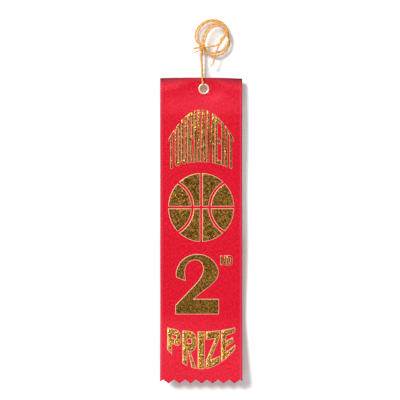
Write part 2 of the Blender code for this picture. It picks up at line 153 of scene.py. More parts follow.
# Painted wall and floor: matt white emulsion, with the wall seen from its front only
studio_white = new_material("studio_white_paint")
tree = studio_white.node_tree
paint = add_node(tree, "ShaderNodeBsdfPrincipled", {
    "Base Color": srgb("#F8F8F8"), "Roughness": 0.9, "Specular IOR Level": 0.0})
clear = add_node(tree, "ShaderNodeBsdfTransparent")
facing = add_node(tree, "ShaderNodeNewGeometry")
one_sided = add_node(tree, "ShaderNodeMixShader", {
    0: facing.outputs["Backfacing"], 1: paint.outputs[0], 2: clear.outputs[0]})
add_node(tree, "ShaderNodeOutputMaterial", {"Surface": one_sided.outputs[0]})

# Black flag cloth: dull, so that the foil has something dark to reflect
flag_black = new_material("flag_black_cloth")
tree = flag_black.node_tree
cloth = add_node(tree, "ShaderNodeBsdfDiffuse", {"Color": srgb("#1E1C1A")})
add_node(tree, "ShaderNodeOutputMaterial", {"Surface": cloth.outputs[0]})

upright = Matrix.Rotation(math.radians(90), 3, "X")
wall = studio_plane("studio_wall", studio_white, (0, WALL_GAP, 0),
                    (STUDIO_SIZE, STUDIO_SIZE), upright)
wall.visible_shadow = False
wall.visible_diffuse = False
wall.visible_glossy = False
studio_plane("studio_floor", studio_white, (0, 0, FLOOR_LEVEL), (STUDIO_SIZE, STUDIO_SIZE))
flag = studio_plane("studio_flag", flag_black, FLAG_PLACE, FLAG_SIZE, upright)
flag.visible_camera = False
flag.visible_shadow = False
flag.visible_diffuse = False

key_lamp = bpy.data.lights.new("key_light", "SUN")
key_lamp.energy = KEY_STRENGTH
key_lamp.angle = math.radians(KEY_ANGLE)
key = bpy.data.objects.new("key_light", key_lamp)
key.rotation_euler = Vector(KEY_DIRECTION).to_track_quat("-Z", "Y").to_euler()
bpy.context.scene.collection.objects.link(key)
area_light("softbox", SOFTBOX_PLACE, SOFTBOX_SIZE, SOFTBOX_POWER)
area_light("rear_fill", REAR_PLACE, REAR_SIZE, REAR_POWER)

world = bpy.data.worlds.new("studio_air")
bpy.context.scene.world = world
world.use_nodes = True
tree = world.node_tree
tree.nodes.clear()
path = add_node(tree, "ShaderNodeLightPath")
fill = add_node(tree, "ShaderNodeBackground", {"Color": srgb("#FFFFFF"), "Strength": 0.15})
white = add_node(tree, "ShaderNodeBackground", {"Color": srgb("#FFFFFF"), "Strength": 1.0})
seen = add_node(tree, "ShaderNodeMixShader", {
    0: path.outputs["Is Camera Ray"], 1: fill.outputs[0], 2: white.outputs[0]})
add_node(tree, "ShaderNodeOutputWorld", {"Surface": seen.outputs[0]})

camera_data = bpy.data.cameras.new("camera")
camera_data.lens = CAMERA_LENS
camera_data.sensor_width = CAMERA_SENSOR
camera = bpy.data.objects.new("camera", camera_data)
camera.location = Vector(VIEW_CENTRE) - Vector((0, CAMERA_DISTANCE, 0))
camera.rotation_euler = (math.radians(90), 0, 0)
bpy.context.scene.collection.objects.link(camera)
bpy.context.scene.camera = camera
bpy.context.scene.view_settings.view_transform = "Standard"


# ---------------------------------------------------------------------------
# Satin ribbon: one strip of 2 inch acetate satin with woven selvages, cut with
# pinking shears, folded over the card's top edge and held there by the eyelet.
# It rolls softly over the fold, dips at the eyelet and curls out at the end.

panel_low, panel_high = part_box("ribbon_panel")
head_low, head_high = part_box("ribbon_head")
eyelet_low, eyelet_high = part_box("eyelet")

HALF_WIDTH = panel_high.x
FOLD_TOP = head_high.z
FRONT_DROP = FOLD_TOP - panel_low.z
FLAP_DROP = 0.0146
SATIN_THICKNESS = 0.0002

PINKING_PITCH = 0.00677
PINKING_DEPTH = 0.0024
PINKING_SHIFT = 0.0002
PINKING_FADE = 0.012          # height over which the mesh rows straighten above the zigzag

EYELET_X = (eyelet_low.x + eyelet_high.x) / 2
EYELET_Z = (eyelet_low.z + eyelet_high.z) / 2
EYELET_DROP = FOLD_TOP - EYELET_Z
HOLE_RADIUS = 0.0028
HOLE_HALF_BLOCK = 0.0034      # half the side of the square of mesh that the hole replaces
FLANGE_SEAT = 0.00088         # satin face under the eyelet's flange, from the card's middle

REST_STAND_OFF = 0.00095      # satin face to the card's middle where the satin lies flat
FLAP_STAND_OFF = 0.00085
FLAP_FLARE = 0.0006           # the flap stands further off at its corners
PULL_START = 0.0034           # reach from the eyelet's middle within which it clamps the satin
FRONT_PULL_END = 0.0095       # reach beyond which the satin is free of it
FLAP_PULL_END = 0.0100

ROLL_LENGTH = 0.0085          # drop over which the fold rolls over at the corners
CENTRE_ROLL_LENGTH = 0.0013   # the same above the eyelet, where the satin is pulled tight
ROLL_DROP_POWER = 1.6         # the drop sets in slowly along the roll,
ROLL_AWAY_POWER = 1.3         # and so does the stand-off
NOSE_RADIUS = 0.00065         # of the tight turn at the fold's very top
LEFT_SAG = 0.0003             # the fold's top line is lower by this at each corner
RIGHT_SAG = 0.0006
SAG_FADE = 0.012              # drop over which the sag dies away

FAN_DEPTH = 0.0011            # bulge of the slack satin below the eyelet
SLACK = 0.0003                # extra stand-off of the loose satin,
CORNER_SLACK = 0.0004         # and more of it towards both selvages near the fold
LEAN_DEPTH = 0.0016           # the satin leans back below the card's lower edge
RIPPLE_DEPTH = 0.00010
EDGE_WAVE_DEPTH = 0.00022
CURL_START = 0.145            # drop from which the end curls forward
CURL_SLOPE = 0.185
CURL_EASE = 0.008             # length over which the curl sets in


def smooth(value, low, high):
    """0 below low, 1 above high and an S-shaped rise between them."""
    share = min(1.0, max(0.0, (value - low) / (high - low)))
    return share * share * (3 - 2 * share)


def front_stand_off(x, drop):
    """How far the front face of the satin stands from the card's middle plane."""
    side = min(1.0, abs(x - EYELET_X) / HALF_WIDTH)
    fan = FAN_DEPTH * (1 - 0.6 * side ** 2) * smooth(drop, 0.0105, 0.0245)
    slack = SLACK + CORNER_SLACK * side * (1 - smooth(drop, 0.012, 0.035))
    billow = slack + fan * (1 - smooth(drop, 0.030, 0.075))
    lean = -LEAN_DEPTH * smooth(drop, 0.098, 0.148)
    past = max(0.0, drop - CURL_START)
    curl = CURL_SLOPE * past * past / (past + CURL_EASE)
    ripple = RIPPLE_DEPTH * math.sin(drop / 0.0105 + 1.0) * math.cos(x / 0.013 + drop / 0.031)
    edge_wave = EDGE_WAVE_DEPTH * (x / HALF_WIDTH) ** 2 * math.sin(drop / 0.0142)
    away = smooth(drop, 0.012, 0.030)
    face = REST_STAND_OFF + billow + lean + curl + (ripple + edge_wave) * away
    reach = math.hypot(0.6 * (x - EYELET_X), drop - EYELET_DROP)
    pull = 1 - smooth(reach, PULL_START, FRONT_PULL_END)
    return face * (1 - pull) + FLANGE_SEAT * pull


def flap_stand_off(x, drop):
    """How far the flap stands from the card's middle plane, behind it."""
    side = abs(x - EYELET_X) / HALF_WIDTH
    reach = math.hypot(x - EYELET_X, drop - EYELET_DROP)
    pull = 1 - smooth(reach, PULL_START, FLAP_PULL_END)
    face = FLAP_STAND_OFF + FLAP_FLARE * side ** 2 * smooth(drop, 0.001, 0.010)
    return face * (1 - pull) + FLANGE_SEAT * pull


def fold_sag(x):
    """The fold's top line is a little lower towards both corners."""
    share = x / HALF_WIDTH
    return (LEFT_SAG if x < 0 else RIGHT_SAG) * share * share


def satin_place(x, along):
    """Place on the hung satin of a point of the flat strip; along is 0 at the fold's top."""
    drop = abs(along)
    side = min(1.0, abs(x - EYELET_X) / HALF_WIDTH)
    roll_length = CENTRE_ROLL_LENGTH
    if along <= 0:
        roll_length += (ROLL_LENGTH - CENTRE_ROLL_LENGTH) * side
    share = min(1.0, drop / roll_length)
    if share < 1:
        drop = roll_length * share ** ROLL_DROP_POWER
    away = front_stand_off(x, drop) if along <= 0 else flap_stand_off(x, drop)
    nose = NOSE_RADIUS * math.sqrt(1 - max(0.0, 1 - drop / NOSE_RADIUS) ** 2)
    y = nose + (away - NOSE_RADIUS) * share ** ROLL_AWAY_POWER
    sag = fold_sag(x) * (1 - smooth(drop, 0.0, SAG_FADE))
    return Vector((x, -y if along <= 0 else y, FOLD_TOP - drop - sag))


def pinking_rise(x):
    """Height of the zigzag edge above its tips at x."""
    phase = ((x - PINKING_SHIFT) / PINKING_PITCH) % 1.0
    return PINKING_DEPTH * (1 - abs(1 - 2 * phase))


def open_hole(bm, x, along):
    """Open a round hole in the flat strip, in place of a square block of its mesh."""
    inside = [f for f in bm.faces
              if abs(f.calc_center_median().x - x) < HOLE_HALF_BLOCK
              and abs(f.calc_center_median().y - along) < HOLE_HALF_BLOCK]
    rim = [e for e in bm.edges if sum(f in inside for f in e.link_faces) == 1]
    bmesh.ops.delete(bm, geom=inside, context="FACES")
    lip = bmesh.ops.extrude_edge_only(bm, edges=rim)["geom"]
    middle = Vector((x, along, 0))
    for v in lip:
        if isinstance(v, bmesh.types.BMVert):
            v.co = middle + (v.co - middle).normalized() * HOLE_RADIUS


def face_forward(bm):
    """Turn the faces of an open sheet so that its printed side looks towards -Y."""
    bmesh.ops.recalc_face_normals(bm, faces=bm.faces)
    if sum(f.normal.y * f.calc_area() for f in bm.faces) > 0:
        bmesh.ops.reverse_faces(bm, faces=bm.faces)


# The flat strip, with its columns on the zigzag's corners and finer rows at the fold
column = PINKING_PITCH / 8
columns = 2 * math.ceil(HALF_WIDTH / column + 0.5)
row = 0.00085
fine_row = 0.0002
front_rows = round(FRONT_DROP / row)
flap_rows = round(FLAP_DROP / row)
bm = bmesh.new()
bmesh.ops.create_grid(bm, x_segments=columns, y_segments=front_rows + flap_rows, size=0.5)
bmesh.ops.scale(bm, vec=(columns * column, FRONT_DROP + FLAP_DROP, 1), verts=bm.verts)
bmesh.ops.translate(bm, vec=(PINKING_SHIFT, (FLAP_DROP - FRONT_DROP) / 2, 0), verts=bm.verts)
open_hole(bm, EYELET_X, -EYELET_DROP)
open_hole(bm, EYELET_X, EYELET_DROP)
for step in range(-24, 10):
    bmesh.ops.bisect_plane(bm, geom=[*bm.verts, *bm.edges, *bm.faces], dist=1e-7,
                           plane_co=(0, step * fine_row, 0), plane_no=(0, 1, 0))
for side in (-1, 1):
    bmesh.ops.bisect_plane(bm, geom=[*bm.verts, *bm.edges, *bm.faces], dist=1e-7,
                           plane_co=(side * HALF_WIDTH, 0, 0), plane_no=(side, 0, 0),
                           clear_outer=True)
for v in bm.verts:
    above_end = v.co.y + FRONT_DROP
    v.co.y += pinking_rise(v.co.x) * max(0.0, 1 - above_end / PINKING_FADE)

# The place on the flat strip stays with each point, for the weave to follow
flat_place = bm.verts.layers.float_vector.new("strip")
for v in bm.verts:
    v[flat_place] = v.co.copy()
    v.co = satin_place(v.co.x, v.co.y)
face_forward(bm)

# Acetate satin, woven and calendered: long warp floats on the face give a soft streaky
# gloss along the strip, and the selvages are a tighter, paler band with a thread line.
# The threads are 0.1 mm apart; they are drawn 0.3 mm wide, on a mottle of about 1 mm, so
# that they show. Painted shade darkens the satin along the fold, and reaches lower at the
# corners.
satin_face = new_material("acetate_satin_face")
tree = satin_face.node_tree
strip = add_node(tree, "ShaderNodeAttribute", attribute_name="strip")
across = add_node(tree, "ShaderNodeSeparateXYZ", {0: strip.outputs["Vector"]})
warp_place = add_node(tree, "ShaderNodeMapping", {
    "Vector": strip.outputs["Vector"], "Scale": (1 / 0.0003, 1 / 0.0016, 1)})
warp = add_node(tree, "ShaderNodeTexNoise", {
    "Vector": warp_place.outputs[0], "Scale": 1.0, "Detail": 2.0, "Roughness": 0.6})
grain_place = add_node(tree, "ShaderNodeMapping", {
    "Vector": strip.outputs["Vector"], "Scale": (1 / 0.0011, 1 / 0.0014, 1)})
grain = add_node(tree, "ShaderNodeTexNoise", {
    "Vector": grain_place.outputs[0], "Scale": 1.0, "Detail": 3.0, "Roughness": 0.7})
mottle = add_node(tree, "ShaderNodeMath", {0: warp.outputs["Fac"], 1: grain.outputs["Fac"]},
                  operation="ADD")
mottle_level = add_node(tree, "ShaderNodeMapRange", {
    "Value": mottle.outputs[0], "From Min": 0.80, "From Max": 1.20})
dye = add_node(tree, "ShaderNodeMix", {
    0: mottle_level.outputs[0], 6: srgb("#AC0012"), 7: srgb("#E40E2C")}, data_type="RGBA")
distance = add_node(tree, "ShaderNodeMath", {0: across.outputs["X"]}, operation="ABSOLUTE")
selvage = add_node(tree, "ShaderNodeMapRange", {
    "Value": distance.outputs[0], "From Min": 0.0238, "From Max": 0.0242})
selvage_line = add_node(tree, "ShaderNodeMath", {
    0: distance.outputs[0], 1: 0.0237, 2: 0.00035}, operation="COMPARE")
weft_turns = add_node(tree, "ShaderNodeMath", {
    0: across.outputs["Y"], 1: 2 * math.pi / 0.0011}, operation="MULTIPLY")
weft = add_node(tree, "ShaderNodeMath", {0: weft_turns.outputs[0]}, operation="SINE")
weft_level = add_node(tree, "ShaderNodeMapRange", {
    "Value": weft.outputs[0], "From Min": -1.0, "From Max": 1.0})
selvage_dye = add_node(tree, "ShaderNodeMix", {
    0: weft_level.outputs[0], 6: srgb("#B41428"), 7: srgb("#D83C4E")}, data_type="RGBA")
banded = add_node(tree, "ShaderNodeMix", {
    0: selvage.outputs[0], 6: dye.outputs[2], 7: selvage_dye.outputs[2]}, data_type="RGBA")
line_share = add_node(tree, "ShaderNodeMath", {
    0: selvage_line.outputs[0], 1: 0.35}, operation="MULTIPLY")
lined = add_node(tree, "ShaderNodeMix", {
    0: line_share.outputs[0], 6: banded.outputs[2], 7: srgb("#C4142E")}, data_type="RGBA")
# Painted shade: a dark red laid over the satin's colour along the fold's top, reaching lower at
# the corners
from_fold = add_node(tree, "ShaderNodeMath", {0: across.outputs["Y"]}, operation="ABSOLUTE")
fold_painted_shade_reach = add_node(tree, "ShaderNodeMath", {
    0: distance.outputs[0], 1: 0.135}, operation="MULTIPLY")
fold_painted_shade_place = add_node(tree, "ShaderNodeMath", {
    0: fold_painted_shade_reach.outputs[0], 1: from_fold.outputs[0]}, operation="SUBTRACT")
fold_painted_shade_level = add_node(tree, "ShaderNodeMapRange", {
    "Value": fold_painted_shade_place.outputs[0], "From Min": -0.0030, "From Max": 0.0016,
    "To Min": 0.0, "To Max": 0.85})
fold_painted_shade = add_node(tree, "ShaderNodeMix", {
    0: fold_painted_shade_level.outputs[0], 6: lined.outputs[2], 7: srgb("#44020C")}, data_type="RGBA")
ridge = add_node(tree, "ShaderNodeMath", {
    0: weft_level.outputs[0], 1: selvage.outputs[0]}, operation="MULTIPLY")
relief = add_node(tree, "ShaderNodeMath", {
    0: ridge.outputs[0], 1: mottle_level.outputs[0]}, operation="ADD")
bump = add_node(tree, "ShaderNodeBump", {
    "Height": relief.outputs[0], "Strength": 0.8, "Distance": 0.00003})
gloss = add_node(tree, "ShaderNodeMapRange", {
    "Value": mottle_level.outputs[0], "To Min": 0.29, "To Max": 0.38})
shader = add_node(tree, "ShaderNodeBsdfPrincipled", {
    "Base Color": fold_painted_shade.outputs[2], "Roughness": gloss.outputs[0], "Normal": bump.outputs[0],
    "IOR": 1.48, "Specular IOR Level": 0.9, "Specular Tint": srgb("#FF7C92")})
add_node(tree, "ShaderNodeOutputMaterial", {"Surface": shader.outputs[0]})

# The strip's inner side shows the short ends of the floats: matt and a duller red. The
# ends are 0.1 mm apart; they are drawn about 1 mm wide so that they show.
satin_back = new_material("acetate_satin_back")
tree = satin_back.node_tree
strip = add_node(tree, "ShaderNodeAttribute", attribute_name="strip")
back_place = add_node(tree, "ShaderNodeMapping", {
    "Vector": strip.outputs["Vector"], "Scale": (1 / 0.0012, 1 / 0.0006, 1)})
back_grain = add_node(tree, "ShaderNodeTexNoise", {
    "Vector": back_place.outputs[0], "Scale": 1.0, "Detail": 3.0, "Roughness": 0.6})
back_dye = add_node(tree, "ShaderNodeMix", {
    0: back_grain.outputs["Fac"], 6: srgb("#A80E22"), 7: srgb("#C8263A")}, data_type="RGBA")
back_bump = add_node(tree, "ShaderNodeBump", {
    "Height": back_grain.outputs["Fac"], "Strength": 0.5, "Distance": 0.00006})
shader = add_node(tree, "ShaderNodeBsdfPrincipled", {
    "Base Color": back_dye.outputs[2], "Normal": back_bump.outputs[0], "Roughness": 0.72,
    "IOR": 1.48, "Sheen Weight": 0.25, "Sheen Roughness": 0.5})
add_node(tree, "ShaderNodeOutputMaterial", {"Surface": shader.outputs[0]})

satin = new_object("satin_strip", bm, satin_face, satin_back)
solidify = satin.modifiers.new("cloth_thickness", "SOLIDIFY")
solidify.thickness = SATIN_THICKNESS
solidify.offset = -1
solidify.material_offset = 1
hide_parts("ribbon_head", "ribbon_panel")
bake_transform(satin)


# ---------------------------------------------------------------------------
# Foil print: metallised foil pressed into the satin by a hot die. Each letter
# and ball panel is a thin leaf that follows the cloth, with a rim in a pale painted
# highlight and the weave showing through it as glitter.

RIM_WIDTH = 0.00030           # inside the outline of the larger figures
NARROW_RIM_WIDTH = 0.00016    # outside the narrow strokes of the title and the suffix
FOIL_LIFT = 0.00010           # middle of a leaf above the satin's face
RIM_LIFT = 0.00003
FOIL_THICKNESS = 0.00004
FOIL_STEP = 0.0015            # longest straight stretch of foil on the curved cloth

# Hot-stamped foil: aluminium under a gold lacquer, on a woven ground. The facets of the
# weave tilt it, so single threads flash while the rest reflects the dark room. A facet
# is one thread wide, 0.1 mm; they are drawn about 1 mm across so that they show.
foil_leaf = new_material("hot_stamped_gold_foil")
tree = foil_leaf.node_tree
place = add_node(tree, "ShaderNodeTexCoord")
facets = add_node(tree, "ShaderNodeTexVoronoi", {
    "Vector": place.outputs["Object"], "Scale": 1 / 0.0008, "Randomness": 1.0})
crinkle = add_node(tree, "ShaderNodeTexNoise", {
    "Vector": place.outputs["Object"], "Scale": 1 / 0.0011, "Detail": 3.0, "Roughness": 0.65})
specks = add_node(tree, "ShaderNodeTexNoise", {
    "Vector": place.outputs["Object"], "Scale": 1 / 0.0010, "Detail": 2.0, "Roughness": 0.7})
speck_level = add_node(tree, "ShaderNodeMapRange", {
    "Value": specks.outputs["Fac"], "From Min": 0.40, "From Max": 0.66})
lacquer = add_node(tree, "ShaderNodeMix", {
    0: speck_level.outputs[0], 6: srgb("#5E3E16"), 7: srgb("#D09A46")}, data_type="RGBA")
foil_bump = add_node(tree, "ShaderNodeBump", {
    "Height": crinkle.outputs["Fac"], "Strength": 1.0, "Distance": 0.00022})
foil_gloss = add_node(tree, "ShaderNodeMapRange", {
    "Value": facets.outputs["Distance"], "From Min": 0.0, "From Max": 0.8,
    "To Min": 0.14, "To Max": 0.26})
shader = add_node(tree, "ShaderNodeBsdfPrincipled", {
    "Base Color": lacquer.outputs[2], "Metallic": 1.0, "Roughness": foil_gloss.outputs[0],
    "Normal": foil_bump.outputs[0]})
add_node(tree, "ShaderNodeOutputMaterial", {"Surface": shader.outputs[0]})

# The rim is painted a pale peach-gold: a painted highlight along every edge of the foil,
# in patches of about 0.6 mm
foil_rim_highlight = new_material("foil_rim_painted_highlight")
tree = foil_rim_highlight.node_tree
place = add_node(tree, "ShaderNodeTexCoord")
rim_highlight_patches = add_node(tree, "ShaderNodeTexNoise", {
    "Vector": place.outputs["Object"], "Scale": 1 / 0.0006, "Detail": 2.0})
rim_highlight_colour = add_node(tree, "ShaderNodeMix", {
    0: rim_highlight_patches.outputs["Fac"], 6: srgb("#F79C78"), 7: srgb("#FFD9B4")}, data_type="RGBA")
shader = add_node(tree, "ShaderNodeBsdfPrincipled", {
    "Base Color": rim_highlight_colour.outputs[2], "Metallic": 0.12, "Roughness": 0.45})
add_node(tree, "ShaderNodeOutputMaterial", {"Surface": shader.outputs[0]})


def cut_rows(bm, axis, low, high):
    """Cut every face along planes one step apart, so that it can follow the cloth."""
    normal = Vector((0, 0, 0))
    normal[axis] = 1
    steps = math.floor((high - low) / FOIL_STEP)
    for step in range(1, steps + 1):
        bmesh.ops.bisect_plane(bm, geom=[*bm.verts, *bm.edges, *bm.faces], dist=1e-7,
                               plane_co=normal * (low + step * FOIL_STEP), plane_no=normal)


def outer_rim(bm, width):
    """Add a strip of faces round the outline of a flat leaf, outside it."""
    outward = {}
    for edge in [e for e in bm.edges if e.is_boundary]:
        loop = edge.link_loops[0]
        run = loop.link_loop_next.vert.co - loop.vert.co
        side = run.cross(loop.face.normal).normalized()
        for v in edge.verts:
            outward.setdefault(v, []).append(side)
    rim = bmesh.ops.extrude_edge_only(bm, edges=[e for e in bm.edges if e.is_boundary])["geom"]
    for v, sides in outward.items():
        push = sides[0] + sides[-1]
        push *= width / max(0.35, 0.5 * push.length_squared)
        twin = next(e.other_vert(v) for e in v.link_edges if e.other_vert(v) in rim)
        twin.co += push
    return [f for f in rim if isinstance(f, bmesh.types.BMFace)]


def foil_piece(name):
    """Lay one figure of the print on the cloth as a thin leaf with a rim in a pale painted
    highlight.
    """
    low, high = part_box(name)
    bm = bmesh.new()
    bm.from_mesh(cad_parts[name].data)
    bmesh.ops.remove_doubles(bm, verts=bm.verts, dist=1e-6)
    hidden = [f for f in bm.faces if f.normal.y > -0.5]
    bmesh.ops.delete(bm, geom=hidden, context="FACES")
    bmesh.ops.dissolve_limit(bm, angle_limit=0.01, verts=bm.verts, edges=bm.edges)
    for v in bm.verts:
        v.co.y = 0.0
    if "title" in name or "suffix" in name:
        rim = outer_rim(bm, NARROW_RIM_WIDTH)
    else:
        rim = bmesh.ops.inset_region(bm, faces=bm.faces, thickness=RIM_WIDTH,
                                     use_boundary=True, use_even_offset=True)["faces"]
    # The rim faces take the pale painted highlight
    for f in rim:
        f.material_index = 1
    for v in bm.verts:
        if v.is_boundary:
            v.co.y = RIM_LIFT - FOIL_LIFT
    cut_rows(bm, 0, low.x, high.x)
    cut_rows(bm, 2, low.z, high.z)
    for v in bm.verts:
        v.co.y = -front_stand_off(v.co.x, FOLD_TOP - v.co.z) - FOIL_LIFT - v.co.y
    face_forward(bm)
    leaf = new_object(name.replace("foil_", "foil_leaf_"), bm, foil_leaf, foil_rim_highlight)
    solidify = leaf.modifiers.new("foil_thickness", "SOLIDIFY")
    solidify.thickness = FOIL_THICKNESS
    solidify.offset = -1
    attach(leaf, "ribbon_panel")
    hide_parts(name)
    return leaf


foils = [foil_piece(name) for name in sorted(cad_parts) if name.startswith("foil_")]


# ---------------------------------------------------------------------------
# Event card: stiff uncoated white card inside the fold, die-cut with one hole.
# Its back carries plain ruled lines to write on.

CARD_LINES = 4
CARD_LINE_PITCH = 0.009
CARD_LINE_TOP = 0.0385        # below the top of the fold
CARD_LINE_HALF_LENGTH = 0.0185
CARD_LINE_HALF_WIDTH = 0.00022

# Uncoated card: matt and slightly cloudy, with flocs of pulp of about 1 mm, and printed
# with thin grey rules on its back
card_finish = new_material("uncoated_white_card")
tree = card_finish.node_tree
place = add_node(tree, "ShaderNodeTexCoord")
parts = add_node(tree, "ShaderNodeSeparateXYZ", {0: place.outputs["Object"]})
pulp = add_node(tree, "ShaderNodeTexNoise", {
    "Vector": place.outputs["Object"], "Scale": 1 / 0.0009, "Detail": 5.0, "Roughness": 0.7})
pulp_colour = add_node(tree, "ShaderNodeMix", {
    0: pulp.outputs["Fac"], 6: srgb("#E6E2D8"), 7: srgb("#F4F2EC")}, data_type="RGBA")
rule_place = add_node(tree, "ShaderNodeMath", {
    0: parts.outputs["Z"], 1: -(FOLD_TOP - CARD_LINE_TOP)}, operation="ADD")
rule_phase = add_node(tree, "ShaderNodeMath", {
    0: rule_place.outputs[0], 1: CARD_LINE_PITCH}, operation="PINGPONG")
rule = add_node(tree, "ShaderNodeMath", {
    0: rule_phase.outputs[0], 1: CARD_LINE_HALF_WIDTH}, operation="LESS_THAN")
in_width = add_node(tree, "ShaderNodeMath", {
    0: parts.outputs["X"], 1: 0.0, 2: CARD_LINE_HALF_LENGTH}, operation="COMPARE")
in_height = add_node(tree, "ShaderNodeMath", {
    0: rule_place.outputs[0], 1: -CARD_LINE_PITCH * (CARD_LINES - 1),
    2: CARD_LINE_PITCH * (CARD_LINES - 0.5)}, operation="COMPARE")
on_back = add_node(tree, "ShaderNodeMath", {
    0: parts.outputs["Y"], 1: 0.0}, operation="GREATER_THAN")
for limit in (in_width, in_height, on_back):
    rule = add_node(tree, "ShaderNodeMath", {
        0: rule.outputs[0], 1: limit.outputs[0]}, operation="MULTIPLY")
ruled = add_node(tree, "ShaderNodeMix", {
    0: rule.outputs[0], 6: pulp_colour.outputs[2], 7: srgb("#6E6E72")}, data_type="RGBA")
card_bump = add_node(tree, "ShaderNodeBump", {
    "Height": pulp.outputs["Fac"], "Strength": 0.3, "Distance": 0.00003})
shader = add_node(tree, "ShaderNodeBsdfPrincipled", {
    "Base Color": ruled.outputs[2], "Normal": card_bump.outputs[0], "Roughness": 0.85})
add_node(tree, "ShaderNodeOutputMaterial", {"Surface": shader.outputs[0]})

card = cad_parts["event_card"]
card.data.materials.clear()
card.data.materials.append(card_finish)


# ---------------------------------------------------------------------------
# Eyelet: a small brass eyelet pressed through satin, card and flap. The domed
# flange sits in front, and the barrel is rolled over in a ring behind.

EYELET_BORE = 0.00235         # radii of the bore, the flange and the rolled rim
EYELET_FLANGE = 0.0034
EYELET_ROLL = 0.0033
EYELET_WALL = 0.00028
EYELET_SEAT = 0.0009          # from the card's middle to where flange and rim start
EYELET_RISE = 0.0005

# Stamped brass, nickel-washed and tumbled: bright, pale and slightly warm. The fine
# tumbling scuffs are drawn 0.5 mm wide so that they show.
brass = new_material("washed_stamped_brass")
tree = brass.node_tree
place = add_node(tree, "ShaderNodeTexCoord")
scuff = add_node(tree, "ShaderNodeTexNoise", {
    "Vector": place.outputs["Object"], "Scale": 1 / 0.0005, "Detail": 4.0})
brass_colour = add_node(tree, "ShaderNodeMix", {
    0: scuff.outputs["Fac"], 6: srgb("#F0D9B8"), 7: srgb("#FFF3E0")}, data_type="RGBA")
brass_gloss = add_node(tree, "ShaderNodeMapRange", {
    "Value": scuff.outputs["Fac"], "To Min": 0.22, "To Max": 0.42})
shader = add_node(tree, "ShaderNodeBsdfPrincipled", {
    "Base Color": brass_colour.outputs[2], "Metallic": 0.85, "Roughness": brass_gloss.outputs[0]})
add_node(tree, "ShaderNodeOutputMaterial", {"Surface": shader.outputs[0]})


def eyelet_profile():
    """Closed half section as (radius, depth): flange in front, barrel, rolled rim behind."""
    front_middle = (EYELET_BORE + EYELET_FLANGE) / 2
    front_half = (EYELET_FLANGE - EYELET_BORE) / 2
    back_middle = (EYELET_BORE + EYELET_ROLL) / 2
    back_half = (EYELET_ROLL - EYELET_BORE) / 2
    points = []
    for step in range(9):
        angle = math.pi * step / 8
        points.append((front_middle + front_half * math.cos(angle),
                       -EYELET_SEAT - EYELET_RISE * math.sin(angle)))
    for step in range(9):
        angle = math.pi * step / 8
        points.append((back_middle - back_half * math.cos(angle),
                       EYELET_SEAT + EYELET_RISE * math.sin(angle)))
    barrel = EYELET_BORE + EYELET_WALL
    points += [(barrel + 0.0002, EYELET_SEAT - 0.00005), (barrel, EYELET_SEAT - 0.0002),
               (barrel, -EYELET_SEAT + 0.0002)]
    return points


bm = bmesh.new()
ring = [bm.verts.new((EYELET_X + radius, depth, EYELET_Z)) for radius, depth in eyelet_profile()]
outline = [bm.edges.new((a, b)) for a, b in zip(ring, ring[1:] + ring[:1])]
bmesh.ops.spin(bm, geom=[*ring, *outline], cent=(EYELET_X, 0, EYELET_Z), axis=(0, 1, 0),
               angle=2 * math.pi, steps=72, use_merge=True)
bmesh.ops.remove_doubles(bm, verts=bm.verts, dist=1e-7)
bmesh.ops.recalc_face_normals(bm, faces=bm.faces)
eyelet = new_object("eyelet_ring", bm, brass)
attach(eyelet, "ribbon_head")
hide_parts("eyelet")


# ---------------------------------------------------------------------------
# String: a foot of soft two-ply string. It goes down in front, back through the
# eyelet and up behind, is knotted above the fold and wound in loose turns. One
# end sticks out of the knot and the other hangs from the turns.

STRING_DIAMETER = 0.0012
STRING_WAIST = 0.00034        # half the string's width between its two plies
TWIST_PITCH = 0.0065
STRING_STEP = 0.0005

# Places on the string as (x, y, height above the top of the fold)
SHORT_END = (
    (-0.0051, -0.0009, 0.0178),
    (-0.0036, -0.0009, 0.0181),
    (-0.0020, -0.0006, 0.0184),
    (-0.0004, 0.0002, 0.0184),
    (0.0008, 0.0004, 0.0176),
)
LEADS = (
    (0.0002, -0.00080, 0.0159),
    (-0.0001, -0.00110, 0.0134),
    (0.0001, -0.00150, 0.0097),
    (0.0004, -0.00190, 0.0048),
    (0.0006, -0.00225, -0.0002),
    (0.0009, -0.00245, -0.0032),
    (0.00105, -0.00195, -0.0050),
    (0.0011, 0.0, -0.0061),
    (0.00115, 0.00195, -0.0050),
    (0.0012, 0.00245, -0.0032),
    (0.0010, 0.00225, -0.0002),
    (0.0008, 0.00190, 0.0048),
    (0.0005, 0.00150, 0.0097),
    (0.0003, 0.00110, 0.0134),
)
KNOT_MIDDLE = (0.0008, 0.0, 0.0184)
KNOT_WRAP_RADIUS = 0.00155
KNOT_WRAPS = 2.5
KNOT_HEIGHT = 0.0030
COIL_MIDDLE = (0.00735, 0.02465)
KNOT_REACH = 0.0085           # from the middle of the turns to where the knot holds them
KNOT_HOLD = 0.55              # angle from the knot over which a turn is held in, in radians
FLAT_ANGLE = 0.2              # direction and spread of the flatter side of a turn, in radians
FLAT_SPREAD = 0.45
TURN_STEPS = 18
